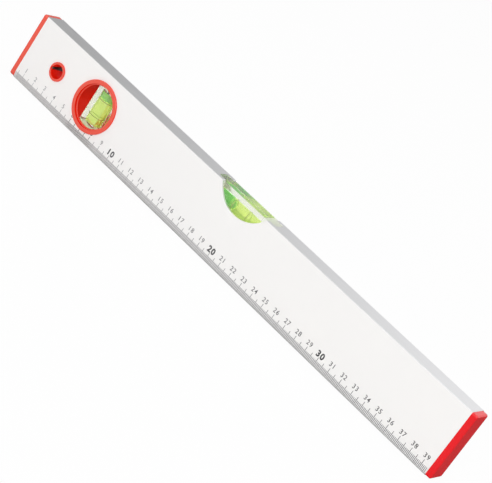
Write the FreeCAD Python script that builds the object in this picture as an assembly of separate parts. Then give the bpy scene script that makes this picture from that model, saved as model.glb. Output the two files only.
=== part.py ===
"""An aluminium spirit level of 40 cm, with a ruler edge and two acrylic block vials.

The level stands on its measuring base at z = 0. X runs along its length, away from the end with
the ruler's zero; the face with the scale looks towards -Y; the horizontal vial is in the top edge.
The origin is under the middle of the level. All sizes are in millimetres.
"""
import FreeCAD, Part

import math
import os

from FreeCAD import Vector

# Overall sizes
overall_length = 401.2
body_height = 48.0
body_depth = 16.0

# Box extrusion
side_wall = 1.2
edge_wall = 1.6
outer_corner_radius = 0.5
inner_corner_radius = 0.5
ruler_bevel_height = 4.4
ruler_bevel_depth = 0.6

# End caps
cap_rim_thickness = 4.1
cap_inset = 0.1
cap_outline_radius = 1.4
cap_edge_round = 1.2
spigot_length = 14.0
spigot_gap = 0.15
spigot_wall = 1.4
spigot_corner_radius = 0.8
crush_rib_width = 1.2
crush_rib_length = 10.0
crush_rib_pitch = 22.0

# Hanging hole and its split bush
hanging_from_end = 33.2
bush_bore_radius = 4.9
bush_wall = 0.7
bush_hole_gap = 0.1
bush_flange_radius = 6.5
bush_flange_thickness = 0.8
bush_flange_round = 0.3
bush_slit_front = 1.8
bush_slit_back = 4.4
bush_bead_height = 0.4
bush_bead_length = 0.9
bush_bead_gap = 0.05

# Plumb vial's bezel, in two halves that lap inside the body
plumb_from_end = 72.3
bezel_flange_radius = 18.0
bezel_flange_thickness = 1.0
bezel_flange_round = 0.45
bezel_mouth_radius = 15.3
bezel_sleeve_wall = 1.2
bezel_hole_gap = 0.1
bezel_ledge_depth = 1.8
bezel_ledge_thickness = 0.8
bezel_ledge_width = 0.8
bezel_ledge_round = 0.25
bezel_lap_length = 4.0
bezel_lap_gap = 0.1
bezel_key_thickness = 1.0
bezel_key_reach = 2.6
bezel_key_gap = 0.1

# Plumb vial
plumb_block_width = 13.2
plumb_block_gap = 0.1
plumb_block_chamfer = 0.4
plumb_bore_radius = 4.6
plumb_chamber_length = 23.6
plumb_line_spacing = 12.0
plumb_bubble_radius = 4.2
plumb_bubble_length = 5.2

# Horizontal vial and its opening
notch_from_end = 200.9
notch_radius = 23.4
notch_depth = 12.2
window_length = 53.0
window_width = 10.0
window_corner_radius = 2.0
window_gap = 0.2
level_block_length = 55.0
level_block_height = 16.0
level_block_recess = 0.3
level_block_side_gap = 0.2
level_block_chamfer = 0.6
level_bore_radius = 5.0
level_bore_drop = 9.4
level_chamber_left = 22.0
level_chamber_right = 17.4
level_plug_length = 6.0
level_line_spacing = 12.8
level_bubble_length = 17.0
level_bubble_half_width = 4.2
level_bubble_half_height = 3.4
level_bubble_end_radius = 3.6

# Cradle under the horizontal vial
cradle_floor = 2.0
cradle_stop = 1.5
cradle_stop_gap = 0.2
cradle_stop_drop = 2.0
cradle_leg_thickness = 2.4
cradle_leg_pitch = 24.0
cradle_foot = 2.0
cradle_web = 1.6

# Shared small sizes of both vials
line_width = 0.5
line_depth = 0.15
seal_pin_radius = 0.8
bubble_gap = 0.12
bubble_film = 0.3
overrun = 2.0

# Worked out from the sizes above
half_depth = body_depth / 2
cavity_half_depth = half_depth - side_wall
cavity_top = body_height - edge_wall
mid_height = body_height / 2
body_half_length = overall_length / 2 - cap_rim_thickness
hanging_x = hanging_from_end - overall_length / 2
plumb_x = plumb_from_end - overall_length / 2
vial_x = notch_from_end - overall_length / 2
bush_sleeve_radius = bush_bore_radius + bush_wall
bush_hole_radius = bush_sleeve_radius + bush_hole_gap
bezel_sleeve_radius = bezel_mouth_radius + bezel_sleeve_wall
bezel_hole_radius = bezel_sleeve_radius + bezel_hole_gap
bezel_ledge_radius = bezel_mouth_radius - bezel_ledge_width
bezel_face = half_depth + bezel_flange_thickness
plumb_block_half_depth = bezel_face - bezel_ledge_depth - bezel_ledge_thickness
plumb_block_radius = bezel_mouth_radius - plumb_block_gap
notch_centre_z = body_height - notch_depth + notch_radius
level_block_top = body_height - level_block_recess
level_block_bottom = level_block_top - level_block_height
level_block_half_width = cavity_half_depth - level_block_side_gap
level_bore_z = level_block_top - level_bore_drop
plumb_chamber_half = plumb_chamber_length / 2
level_bubble_x = bubble_gap + level_bubble_length / 2 - level_chamber_left
level_bubble_z = level_bore_z + level_bore_radius - bubble_film - level_bubble_half_height
plumb_bubble_z = mid_height + plumb_chamber_half - bubble_gap - plumb_bubble_length / 2


def box(x_range, y_range, z_range):
    """A block between two limits on each axis."""
    low = Vector(x_range[0], y_range[0], z_range[0])
    size = Vector(x_range[1], y_range[1], z_range[1]) - low
    return Part.makeBox(size.x, size.y, size.z, low)


def disc_y(x, z, radius, y_from, y_to):
    """A cylinder through the level's depth."""
    return Part.makeCylinder(radius, y_to - y_from, Vector(x, y_from, z), Vector(0, 1, 0))


def ring_y(x, z, outer, inner, y_from, y_to):
    """A tube through the level's depth."""
    bore = disc_y(x, z, inner, y_from - overrun, y_to + overrun)
    return disc_y(x, z, outer, y_from, y_to).cut(bore)


def rod_x(y, z, radius, x_from, x_to):
    """A cylinder along the level's length."""
    return Part.makeCylinder(radius, x_to - x_from, Vector(x_from, y, z), Vector(1, 0, 0))


def rod_z(x, y, radius, z_from, z_to):
    """An upright cylinder."""
    return Part.makeCylinder(radius, z_to - z_from, Vector(x, y, z_from), Vector(0, 0, 1))


def rounded_outline(corners, place):
    """A closed wire through (a, b, radius) corners, each rounded by its radius, set in space by place."""
    edges = []
    arcs = []
    count = len(corners)
    for index, (a, b, radius) in enumerate(corners):
        here = Vector(a, b, 0)
        before = Vector(*corners[index - 1][:2], 0)
        after = Vector(*corners[(index + 1) % count][:2], 0)
        to_before = (before - here).normalize()
        to_after = (after - here).normalize()
        half_angle = to_before.getAngle(to_after) / 2
        reach = radius / math.tan(half_angle)
        middle = (to_before + to_after).normalize()
        crown = here + middle * (radius / math.sin(half_angle) - radius)
        arcs.append((here + to_before * reach, crown, here + to_after * reach, radius))
    for index, (start, crown, end, radius) in enumerate(arcs):
        next_start = arcs[(index + 1) % count][0]
        if radius > 0:
            edges.append(Part.Arc(place(start), place(crown), place(end)).toShape())
        edges.append(Part.LineSegment(place(end), place(next_start)).toShape())
    return Part.Wire(edges)


def prism_x(corners, x_from, x_to):
    """A rounded (y, z, radius) outline, extruded along the level."""
    wire = rounded_outline(corners, lambda p: Vector(x_from, p.x, p.y))
    return Part.Face(wire).extrude(Vector(x_to - x_from, 0, 0))


def prism_z(corners, z_from, z_to):
    """A rounded (x, y, radius) outline, extruded upwards."""
    wire = rounded_outline(corners, lambda p: Vector(p.x, p.y, z_from))
    return Part.Face(wire).extrude(Vector(0, 0, z_to - z_from))


def rectangle(half_a, b_low, b_high, radius):
    """The corners of a rounded rectangle that is centred in its first direction."""
    return [
        (-half_a, b_low, radius),
        (half_a, b_low, radius),
        (half_a, b_high, radius),
        (-half_a, b_high, radius),
    ]


def round_edges(solid, radius, is_edge):
    """Fillet the edges that the test picks."""
    return solid.makeFillet(radius, [edge for edge in solid.Edges if is_edge(edge)])


def mirrored_y(shape):
    """The same piece for the back of the level."""
    return shape.mirror(Vector(0, 0, 0), Vector(0, 1, 0))


def mirrored_x(shape):
    """The same piece for the other end of the level."""
    return shape.mirror(Vector(0, 0, 0), Vector(1, 0, 0))


def at_vial(shape):
    """Move a shape from the middle of the level to the horizontal vial's place."""
    return shape.translated(Vector(vial_x, 0, 0))


def notch_cylinder(radius):
    """The half-round cutter that opens the top edge over the horizontal vial."""
    return disc_y(0, notch_centre_z, radius, -body_depth, body_depth)


def body_profile():
    """The box extrusion with its bevelled ruler edge, milled openings and drilled holes."""
    outline = [
        (-half_depth, ruler_bevel_height, 0),
        (ruler_bevel_depth - half_depth, 0, 0),
        (half_depth, 0, outer_corner_radius),
        (half_depth, body_height, outer_corner_radius),
        (-half_depth, body_height, outer_corner_radius),
    ]
    body = prism_x(outline, -body_half_length, body_half_length)
    cavity_outline = rectangle(cavity_half_depth, edge_wall, cavity_top, inner_corner_radius)
    cavity_end = body_half_length + overrun
    body = body.cut(prism_x(cavity_outline, -cavity_end, cavity_end))
    window = rectangle(window_length / 2, -window_width / 2, window_width / 2, window_corner_radius)
    body = body.cut(at_vial(prism_z(window, cavity_top - overrun, body_height + overrun)))
    body = body.cut(at_vial(notch_cylinder(notch_radius)))
    body = body.cut(disc_y(plumb_x, mid_height, bezel_hole_radius, -body_depth, body_depth))
    return body.cut(disc_y(hanging_x, mid_height, bush_hole_radius, -body_depth, body_depth))


def crush_ribs(x_from, x_to):
    """Low ribs on the spigot that bear on the inside of the box section."""
    ribs = []
    half_rib = crush_rib_width / 2
    spigot_side = cavity_half_depth - spigot_gap
    for z in (mid_height - crush_rib_pitch / 2, mid_height + crush_rib_pitch / 2):
        z_range = (z - half_rib, z + half_rib)
        for side in (-1, 1):
            y_range = sorted((side * (spigot_side - spigot_wall / 2), side * cavity_half_depth))
            ribs.append(box((x_from, x_to), y_range, z_range))
    y_range = (-half_rib, half_rib)
    ribs.append(box((x_from, x_to), y_range, (edge_wall, edge_wall + spigot_wall)))
    ribs.append(box((x_from, x_to), y_range, (cavity_top - spigot_wall, cavity_top)))
    return ribs


def end_cap_right():
    """A moulded plug: a rim plate that covers the end, and a hollow ribbed spigot inside."""
    rim_outline = rectangle(half_depth - cap_inset, cap_inset, body_height - cap_inset, cap_outline_radius)
    outer_x = overall_length / 2
    rim = prism_x(rim_outline, body_half_length, outer_x)
    rim = round_edges(rim, cap_edge_round, lambda edge: edge.BoundBox.XMin > outer_x - cap_edge_round)
    side = cavity_half_depth - spigot_gap
    low = edge_wall + spigot_gap
    high = cavity_top - spigot_gap
    inner_x = body_half_length - spigot_length
    solid = prism_x(rectangle(side, low, high, spigot_corner_radius), inner_x, body_half_length)
    hollow_low = low + spigot_wall
    hollow_high = high - spigot_wall
    hollow_outline = rectangle(side - spigot_wall, hollow_low, hollow_high, spigot_corner_radius)
    hollow = prism_x(hollow_outline, inner_x - overrun, body_half_length)
    cap = rim.fuse(solid.cut(hollow))
    rib_start = body_half_length - crush_rib_length
    return cap.multiFuse(crush_ribs(rib_start, body_half_length)).removeSplitter()


def end_cap_left():
    """The same plug, turned for the other end."""
    return mirrored_x(end_cap_right())


def hanging_bush():
    """A springy split bush: flange in front, sleeve through both walls, snap bead behind."""
    front = -half_depth - bush_flange_thickness
    bead_start = half_depth + bush_bead_gap
    back = bead_start + bush_bead_length
    flange = disc_y(hanging_x, mid_height, bush_flange_radius, front, -half_depth)
    outer_face = front + bush_flange_round
    flange = round_edges(flange, bush_flange_round, lambda edge: edge.BoundBox.YMax < outer_face)
    sleeve = disc_y(hanging_x, mid_height, bush_sleeve_radius, -half_depth, back)
    bead = Part.makeCone(
        bush_sleeve_radius + bush_bead_height,
        bush_sleeve_radius,
        bush_bead_length,
        Vector(hanging_x, bead_start, mid_height),
        Vector(0, 1, 0),
    )
    bore = disc_y(hanging_x, mid_height, bush_bore_radius, front - overrun, back + overrun)
    slit_outline = [
        (front, mid_height - bush_slit_front / 2, 0),
        (back, mid_height - bush_slit_back / 2, 0),
        (back, mid_height + bush_slit_back / 2, 0),
        (front, mid_height + bush_slit_front / 2, 0),
    ]
    slit = prism_x(slit_outline, hanging_x - bush_hole_radius, hanging_x)
    past_bead = hanging_x - bush_sleeve_radius - bush_bead_height - overrun
    half_slit = bush_slit_back / 2
    bead_slit = box(
        (past_bead, hanging_x), (half_depth, back + overrun), (mid_height - half_slit, mid_height + half_slit)
    )
    return flange.multiFuse([sleeve, bead]).cut(bore).cut(slit).cut(bead_slit).removeSplitter()


def bezel_flange_and_ledge():
    """What both halves of the bezel share: the flange outside and the ledge that holds the vial."""
    flange = disc_y(plumb_x, mid_height, bezel_flange_radius, -bezel_face, -half_depth)
    outer_face = bezel_flange_round - bezel_face
    flange = round_edges(flange, bezel_flange_round, lambda edge: edge.BoundBox.YMax < outer_face)
    mouth = disc_y(plumb_x, mid_height, bezel_mouth_radius, -bezel_face - overrun, 0)
    ledge_start = bezel_ledge_depth - bezel_face
    ledge_end = ledge_start + bezel_ledge_thickness
    ledge = ring_y(plumb_x, mid_height, bezel_sleeve_radius, bezel_ledge_radius, ledge_start, ledge_end)
    lip_end = ledge_start + bezel_ledge_round
    lip_width = 2 * bezel_mouth_radius
    ledge = round_edges(
        ledge,
        bezel_ledge_round,
        lambda edge: edge.BoundBox.YMax < lip_end and 0 < edge.BoundBox.XLength < lip_width,
    )
    return flange.cut(mouth).fuse(ledge)


def bezel_keys(y_to):
    """Four small keys on the sleeve that stop the vial block from turning in its bezel."""
    keys = []
    near = plumb_block_width / 2 + bezel_key_gap
    middle_radius = (bezel_mouth_radius + bezel_sleeve_radius) / 2
    inside = disc_y(plumb_x, mid_height, middle_radius, -body_depth, body_depth)
    for side in (-1, 1):
        x_range = sorted((plumb_x + side * near, plumb_x + side * (near + bezel_key_thickness)))
        for end in (-1, 1):
            z_inner = mid_height + end * (bezel_mouth_radius - bezel_key_reach)
            z_range = sorted((z_inner, mid_height + end * bezel_sleeve_radius))
            key = box(x_range, (-plumb_block_half_depth, y_to), z_range)
            keys.append(key.common(inside))
    return keys


def plumb_bezel_front():
    """The bezel half with the spigot, pushed in from the front."""
    lap_half = bezel_lap_length / 2
    middle_radius = (bezel_mouth_radius + bezel_sleeve_radius) / 2
    sleeve = ring_y(plumb_x, mid_height, bezel_sleeve_radius, bezel_mouth_radius, -half_depth, -lap_half)
    spigot_radius = middle_radius - bezel_lap_gap / 2
    spigot_end = lap_half - bezel_lap_gap
    spigot = ring_y(plumb_x, mid_height, spigot_radius, bezel_mouth_radius, -lap_half, spigot_end)
    half = bezel_flange_and_ledge().multiFuse([sleeve, spigot] + bezel_keys(-lap_half))
    return half.removeSplitter()


def plumb_bezel_back():
    """The bezel half with the socket, pushed in from the back over the front half's spigot."""
    lap_half = bezel_lap_length / 2
    middle_radius = (bezel_mouth_radius + bezel_sleeve_radius) / 2
    sleeve = ring_y(plumb_x, mid_height, bezel_sleeve_radius, bezel_mouth_radius, -half_depth, -lap_half)
    socket_radius = middle_radius + bezel_lap_gap / 2
    socket_end = lap_half - bezel_lap_gap
    socket = ring_y(plumb_x, mid_height, bezel_sleeve_radius, socket_radius, -lap_half, socket_end)
    half = bezel_flange_and_ledge().multiFuse([sleeve, socket] + bezel_keys(-lap_half))
    return mirrored_y(half.removeSplitter())


def plumb_vial_block():
    """A clear square block with rounded ends that fit the bezel, bored from its upper end."""
    half_width = plumb_block_width / 2
    half_block = plumb_block_half_depth
    outline = [
        (plumb_x - half_width, -half_block, 0),
        (plumb_x + half_width, -half_block, 0),
        (plumb_x + half_width, half_block, 0),
        (plumb_x - half_width, half_block, 0),
    ]
    low = mid_height - plumb_block_radius
    high = mid_height + plumb_block_radius
    block = prism_z(outline, low, high)
    upright = [edge for edge in block.Edges if edge.BoundBox.ZLength > plumb_block_radius]
    block = block.makeChamfer(plumb_block_chamfer, upright)
    block = block.common(disc_y(plumb_x, mid_height, plumb_block_radius, -half_block, half_block))
    bore_start = mid_height - plumb_chamber_half
    block = block.cut(rod_z(plumb_x, 0, plumb_bore_radius, bore_start, high + overrun))
    for z in plumb_line_heights():
        block = block.cut(plumb_groove(z))
    return block


def plumb_line_heights():
    """The middles of the lower and the upper ring line."""
    return mid_height - plumb_line_spacing / 2, mid_height + plumb_line_spacing / 2


def plumb_groove(z):
    """The groove for a ring line around the upright bore, as a disc that cuts it."""
    half_line = line_width / 2
    return rod_z(plumb_x, 0, plumb_bore_radius + line_depth, z - half_line, z + half_line)


def plumb_line(z):
    """A black ring line that fills its groove."""
    bore = rod_z(plumb_x, 0, plumb_bore_radius, z - line_width, z + line_width)
    return plumb_groove(z).cut(bore)


def plumb_line_lower():
    """The ring line under the bubble's middle place."""
    return plumb_line(plumb_line_heights()[0])


def plumb_line_upper():
    """The ring line over the bubble's middle place."""
    return plumb_line(plumb_line_heights()[1])


def plumb_vial_plug():
    """The plug that closes the upright bore, flush with the block's round end."""
    start = mid_height + plumb_chamber_half
    end = mid_height + plumb_block_radius
    plug = rod_z(plumb_x, 0, plumb_bore_radius, start, end)
    plug = plug.common(disc_y(plumb_x, mid_height, plumb_block_radius, -body_depth, body_depth))
    return plug.cut(rod_z(plumb_x, 0, seal_pin_radius, start - overrun, end + overrun))


def plumb_seal_pin():
    """The pin that seals the plug's filling hole."""
    start = mid_height + plumb_chamber_half
    pin = rod_z(plumb_x, 0, seal_pin_radius, start, mid_height + plumb_block_radius)
    return pin.common(disc_y(plumb_x, mid_height, plumb_block_radius, -body_depth, body_depth))


def plumb_vial_liquid():
    """The liquid in the upright bore, open along the path of its bubble."""
    low = mid_height - plumb_chamber_half
    high = mid_height + plumb_chamber_half
    liquid = rod_z(plumb_x, 0, plumb_bore_radius, low, high)
    return liquid.cut(rod_z(plumb_x, 0, plumb_bubble_radius + bubble_gap, low - overrun, high + overrun))


def plumb_bubble():
    """The air bubble, at the upper end of the upright bore."""
    ball = Part.makeSphere(plumb_bubble_radius)
    stretch = FreeCAD.Matrix()
    stretch.scale(1, 1, plumb_bubble_length / 2 / plumb_bubble_radius)
    bubble = ball.transformGeometry(stretch)
    bubble.translate(Vector(plumb_x, 0, plumb_bubble_z))
    return bubble


def level_vial_block():
    """The clear block of the horizontal vial, whose raised top fills the window and the notch."""
    half_length = level_block_length / 2
    half_width = level_block_half_width
    core = prism_x(rectangle(half_width, level_block_bottom, cavity_top, 0), -half_length, half_length)
    long_edges = [edge for edge in core.Edges if edge.BoundBox.XLength > half_length]
    core = core.makeChamfer(level_block_chamfer, long_edges)
    tab_half = window_length / 2 - window_gap
    tab_side = window_width / 2 - window_gap
    tab = rectangle(tab_half, -tab_side, tab_side, window_corner_radius - window_gap)
    raised_from = cavity_top - level_block_chamfer
    tab = prism_z(tab, raised_from, level_block_top)
    saddle = box((-notch_radius, notch_radius), (-half_width, half_width), (raised_from, level_block_top))
    saddle = saddle.common(notch_cylinder(notch_radius - window_gap))
    block = core.multiFuse([tab, saddle]).removeSplitter()
    bore_end = half_length + overrun
    block = block.cut(rod_x(0, level_bore_z, level_bore_radius, -level_chamber_left, bore_end))
    for x in level_line_places():
        block = block.cut(level_groove(x))
    return at_vial(block)


def level_line_places():
    """The middles of the left and the right ring line."""
    return -level_line_spacing / 2, level_line_spacing / 2


def level_groove(x):
    """The groove for a ring line around the level bore, as a disc that cuts it."""
    half_line = line_width / 2
    return rod_x(0, level_bore_z, level_bore_radius + line_depth, x - half_line, x + half_line)


def level_line(x):
    """A black ring line that fills its groove."""
    bore = rod_x(0, level_bore_z, level_bore_radius, x - line_width, x + line_width)
    return at_vial(level_groove(x).cut(bore))


def level_line_left():
    """The ring line left of the bubble's middle place."""
    return level_line(level_line_places()[0])


def level_line_right():
    """The ring line right of the bubble's middle place."""
    return level_line(level_line_places()[1])


def level_vial_plug():
    """The plug that closes the level bore, set into the block's right end."""
    start = level_chamber_right
    end = start + level_plug_length
    plug = rod_x(0, level_bore_z, level_bore_radius, start, end)
    return at_vial(plug.cut(rod_x(0, level_bore_z, seal_pin_radius, start - overrun, end + overrun)))


def level_seal_pin():
    """The pin that seals the plug's filling hole."""
    end = level_chamber_right + level_plug_length
    return at_vial(rod_x(0, level_bore_z, seal_pin_radius, level_chamber_right, end))


def ellipse_bar_x(z, half_width, half_height, x_from, x_to):
    """A bar with an elliptical section along the level."""
    curve = Part.Ellipse(Vector(0, 0, 0), half_width, half_height)
    face = Part.Face(Part.Wire([curve.toShape()]))
    upright = FreeCAD.Rotation(Vector(0, 1, 0), Vector(0, 0, 1), Vector(1, 0, 0))
    face.Placement = FreeCAD.Placement(Vector(x_from, 0, z), upright)
    return face.extrude(Vector(x_to - x_from, 0, 0))


def level_vial_liquid():
    """The liquid in the level bore, open along the path of its bubble."""
    liquid = rod_x(0, level_bore_z, level_bore_radius, -level_chamber_left, level_chamber_right)
    path_start = -level_chamber_left - overrun
    path_end = level_chamber_right + overrun
    path_width = level_bubble_half_width + bubble_gap
    path_height = level_bubble_half_height + bubble_gap
    path = ellipse_bar_x(level_bubble_z, path_width, path_height, path_start, path_end)
    return at_vial(liquid.cut(path))


def level_bubble():
    """The air bubble, a flattened capsule under the top of the level bore, at its left end."""
    radius = level_bubble_end_radius
    straight = level_bubble_length - 2 * radius
    barrel = rod_x(0, 0, radius, -straight / 2, straight / 2)
    ends = [Part.makeSphere(radius, Vector(side * straight / 2, 0, 0)) for side in (-1, 1)]
    capsule = barrel.multiFuse(ends).removeSplitter()
    flatten = FreeCAD.Matrix()
    flatten.scale(1, level_bubble_half_width / radius, level_bubble_half_height / radius)
    bubble = capsule.transformGeometry(flatten)
    bubble.translate(Vector(level_bubble_x, 0, level_bubble_z))
    return at_vial(bubble)


def level_vial_cradle():
    """The carrier that stands on the bottom wall and holds the block up against the top wall."""
    side = level_block_half_width
    foot_side = cavity_half_depth - inner_corner_radius
    inner_end = level_block_length / 2 + cradle_stop_gap
    outer_end = inner_end + cradle_stop
    floor_bottom = level_block_bottom - cradle_floor
    foot_top = edge_wall + cradle_foot
    floor = box((-outer_end, outer_end), (-side, side), (floor_bottom, level_block_bottom))
    foot = box((-outer_end, outer_end), (-foot_side, foot_side), (edge_wall, foot_top))
    stop_top = cavity_top - cradle_stop_drop
    stops = [
        box((inner_end, outer_end), (-side, side), (floor_bottom, stop_top)),
        box((-outer_end, -inner_end), (-side, side), (floor_bottom, stop_top)),
    ]
    half_leg = cradle_leg_thickness / 2
    legs = []
    for index in (-1, 0, 1):
        x = index * cradle_leg_pitch
        legs.append(box((x - half_leg, x + half_leg), (-foot_side, foot_side), (foot_top, floor_bottom)))
    half_web = cradle_web / 2
    web = box((-cradle_leg_pitch, cradle_leg_pitch), (-half_web, half_web), (foot_top, floor_bottom))
    return at_vial(floor.multiFuse([foot, web] + stops + legs).removeSplitter())


PIECES = {
    "body_profile": body_profile,
    "end_cap_left": end_cap_left,
    "end_cap_right": end_cap_right,
    "hanging_bush": hanging_bush,
    "plumb_bezel_front": plumb_bezel_front,
    "plumb_bezel_back": plumb_bezel_back,
    "plumb_vial_block": plumb_vial_block,
    "plumb_vial_plug": plumb_vial_plug,
    "plumb_seal_pin": plumb_seal_pin,
    "plumb_vial_liquid": plumb_vial_liquid,
    "plumb_bubble": plumb_bubble,
    "plumb_line_lower": plumb_line_lower,
    "plumb_line_upper": plumb_line_upper,
    "level_vial_block": level_vial_block,
    "level_vial_plug": level_vial_plug,
    "level_seal_pin": level_seal_pin,
    "level_vial_liquid": level_vial_liquid,
    "level_bubble": level_bubble,
    "level_line_left": level_line_left,
    "level_line_right": level_line_right,
    "level_vial_cradle": level_vial_cradle,
}

os.makedirs("parts", exist_ok=True)
for name, make in PIECES.items():
    piece = make()
    if len(piece.Solids) == 1:
        piece = piece.Solids[0]
    piece.exportStep("parts/" + name + ".step")
    box_now = piece.BoundBox
    spans = (box_now.XMin, box_now.XMax, box_now.YMin, box_now.YMax, box_now.ZMin, box_now.ZMax)
    print(name, len(piece.Solids), piece.isValid(), round(piece.Volume, 2), [round(s, 2) for s in spans])
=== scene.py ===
# %% [markdown]
# A small spirit level: a white lacquered aluminium box with a ruler printed along its lower edge,
# red plastic fittings and two clear acrylic vials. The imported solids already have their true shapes
# and places, so this lesson dresses them with finishes, prints the scale, and rebuilds only what
# glass needs done another way: the clear blocks, their liquid and their air bubbles.

import math

import bmesh
import bpy
from mathutils import Matrix, Vector


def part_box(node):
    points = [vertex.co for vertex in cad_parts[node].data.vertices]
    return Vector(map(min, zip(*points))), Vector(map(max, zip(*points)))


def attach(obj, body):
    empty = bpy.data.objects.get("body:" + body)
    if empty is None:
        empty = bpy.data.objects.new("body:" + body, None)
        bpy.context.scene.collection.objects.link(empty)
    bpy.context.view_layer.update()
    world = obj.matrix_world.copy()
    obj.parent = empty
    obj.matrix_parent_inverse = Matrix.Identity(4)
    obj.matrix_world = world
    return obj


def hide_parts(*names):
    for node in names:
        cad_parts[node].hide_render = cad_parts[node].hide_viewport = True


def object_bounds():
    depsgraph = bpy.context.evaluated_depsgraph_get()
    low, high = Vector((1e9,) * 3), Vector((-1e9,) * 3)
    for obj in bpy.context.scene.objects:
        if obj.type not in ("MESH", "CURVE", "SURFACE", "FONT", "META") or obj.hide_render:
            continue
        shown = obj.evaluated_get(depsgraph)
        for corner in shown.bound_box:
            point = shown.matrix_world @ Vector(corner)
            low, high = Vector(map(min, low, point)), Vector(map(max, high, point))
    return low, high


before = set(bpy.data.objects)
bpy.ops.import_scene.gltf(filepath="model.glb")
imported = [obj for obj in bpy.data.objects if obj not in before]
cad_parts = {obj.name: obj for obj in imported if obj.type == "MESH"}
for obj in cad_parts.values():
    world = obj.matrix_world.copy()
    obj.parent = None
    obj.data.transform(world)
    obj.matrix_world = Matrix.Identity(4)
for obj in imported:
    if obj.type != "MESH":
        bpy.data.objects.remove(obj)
cad_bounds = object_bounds()
mm = 0.001


# %% [markdown]
# Every size below is in metres, so `mm` turns a drawing's millimetres into scene units. A colour is
# written as the sRGB hex value that a paint card would show, and one function turns it to the
# linear values that shaders work in. A finish is a small network of nodes. Another function adds a
# node with its settings and links, so that a network reads from top to bottom.

# %% Helpers for colours and nodes
def colour(code):
    """An sRGB hex colour as a linear RGBA value."""
    parts = [int(code[i:i + 2], 16) / 255 for i in (0, 2, 4)]
    linear = [c / 12.92 if c <= 0.04045 else ((c + 0.055) / 1.055) ** 2.4 for c in parts]
    return (*linear, 1.0)


def add(tree, kind, inputs=None, **settings):
    """Add a node. Settings are its properties; inputs hold values, or sockets to link."""
    node = tree.nodes.new(kind)
    for name, value in settings.items():
        setattr(node, name, value)
    for name, value in (inputs or {}).items():
        if isinstance(value, bpy.types.NodeSocket):
            tree.links.new(value, node.inputs[name])
        else:
            node.inputs[name].default_value = value
    return node


def new_material(name):
    """A material with an empty node tree and an output."""
    material = bpy.data.materials.new(name)
    material.use_nodes = True
    material.node_tree.nodes.clear()
    output = add(material.node_tree, "ShaderNodeOutputMaterial")
    return material, material.node_tree, output


# %% [markdown]
# A solid of the CAD model keeps its mesh and only gets a material. A new piece is shaped as a
# bmesh, becomes a mesh at the very end, and is told which body it rides on and which material it
# takes its finish from.

# %% Helpers for pieces
def dress(material, *nodes):
    """Give CAD nodes a finish."""
    for name in nodes:
        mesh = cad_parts[name].data
        mesh.materials.clear()
        mesh.materials.append(material)
    print(material.name, "on", ", ".join(nodes))


def finish_piece(name, shape, material, body):
    """Turn a bmesh into a named piece that rides on a CAD body."""
    mesh = bpy.data.meshes.new(name)
    shape.to_mesh(mesh)
    shape.free()
    mesh.materials.append(material)
    piece = bpy.data.objects.new(name, mesh)
    bpy.context.scene.collection.objects.link(piece)
    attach(piece, body)
    print(name, len(mesh.polygons), "faces")
    return piece


def smooth(shape, sharp_degrees=35):
    """Shade faces smooth, but keep edges that turn by more than the angle sharp."""
    for face in shape.faces:
        face.smooth = True
    for edge in shape.edges:
        if len(edge.link_faces) == 2:
            edge.smooth = edge.calc_face_angle(0) < math.radians(sharp_degrees)


# %% [markdown]
# The photograph's viewpoint was worked out from the ruler's own ticks and the long edges: a long
# lens, about 1.1 m away, a little above and to the right of the face, and held turned, so that the
# level runs down across the picture. Aiming a camera at a point and then rolling it about its line
# of sight gives that view with a place, an aim and an angle.

# %% Camera
camera_place = Vector((467.8, -920.6, 364.4)) * mm
camera_aim = Vector((17.3, -8.0, 28.7)) * mm
camera_roll = math.radians(34.67)
lens_mm = 127.9
sensor_mm = 36

camera_data = bpy.data.cameras.new("camera")
camera_data.lens = lens_mm
camera_data.sensor_width = sensor_mm
camera = bpy.data.objects.new("camera", camera_data)
bpy.context.scene.collection.objects.link(camera)
look = (camera_aim - camera_place).to_track_quat("-Z", "Y").to_matrix()
turned = look @ Matrix.Rotation(camera_roll, 3, "Z")
camera.matrix_world = Matrix.Translation(camera_place) @ turned.to_4x4()
bpy.context.scene.camera = camera
bpy.context.scene.view_settings.view_transform = "Standard"
print("camera", round((camera_aim - camera_place).length, 3), "m from the level")

# %% [markdown]
# The studio is a white table under soft light. The camera, glass and reflections see the table
# glow, but a share of it stays an ordinary matt surface, so the level's shadow still falls on it.
# Reflections see it far less bright, so that the red plastic keeps its colour where it is seen at
# a flat angle.

# %% Floor
floor_half = 4.0
floor_glow_share = 0.94
floor_mirrored = 0.05
white = colour("FFFFFF")


def ray(tree, *kinds):
    """1 where a ray is of one of these kinds, and 0 elsewhere."""
    path = add(tree, "ShaderNodeLightPath")
    found = path.outputs[f"Is {kinds[0]} Ray"]
    for kind in kinds[1:]:
        either = add(tree, "ShaderNodeMath", {0: found, 1: path.outputs[f"Is {kind} Ray"]},
                     operation="MAXIMUM")
        found = either.outputs[0]
    return found


def make_white_table():
    """Matt white that glows where it is seen, and only faintly where it is mirrored."""
    material, tree, output = new_material("white_table")
    matt = add(tree, "ShaderNodeBsdfDiffuse", {"Color": colour("F2F2F2")})
    mirrored = add(tree, "ShaderNodeMath", {0: ray(tree, "Glossy"), 1: ray(tree, "Transmission")},
                   operation="SUBTRACT", use_clamp=True)
    strength = add(tree, "ShaderNodeMapRange",
                   {"Value": mirrored.outputs[0], "To Min": 1.0, "To Max": floor_mirrored})
    glow = add(tree, "ShaderNodeEmission", {"Color": white, "Strength": strength.outputs[0]})
    seen = ray(tree, "Camera", "Transmission", "Glossy")
    share = add(tree, "ShaderNodeMath", {0: seen, 1: floor_glow_share}, operation="MULTIPLY")
    mix = add(tree, "ShaderNodeMixShader",
              {0: share.outputs[0], 1: matt.outputs[0], 2: glow.outputs[0]})
    tree.links.new(mix.outputs[0], output.inputs["Surface"])
    return material


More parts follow.
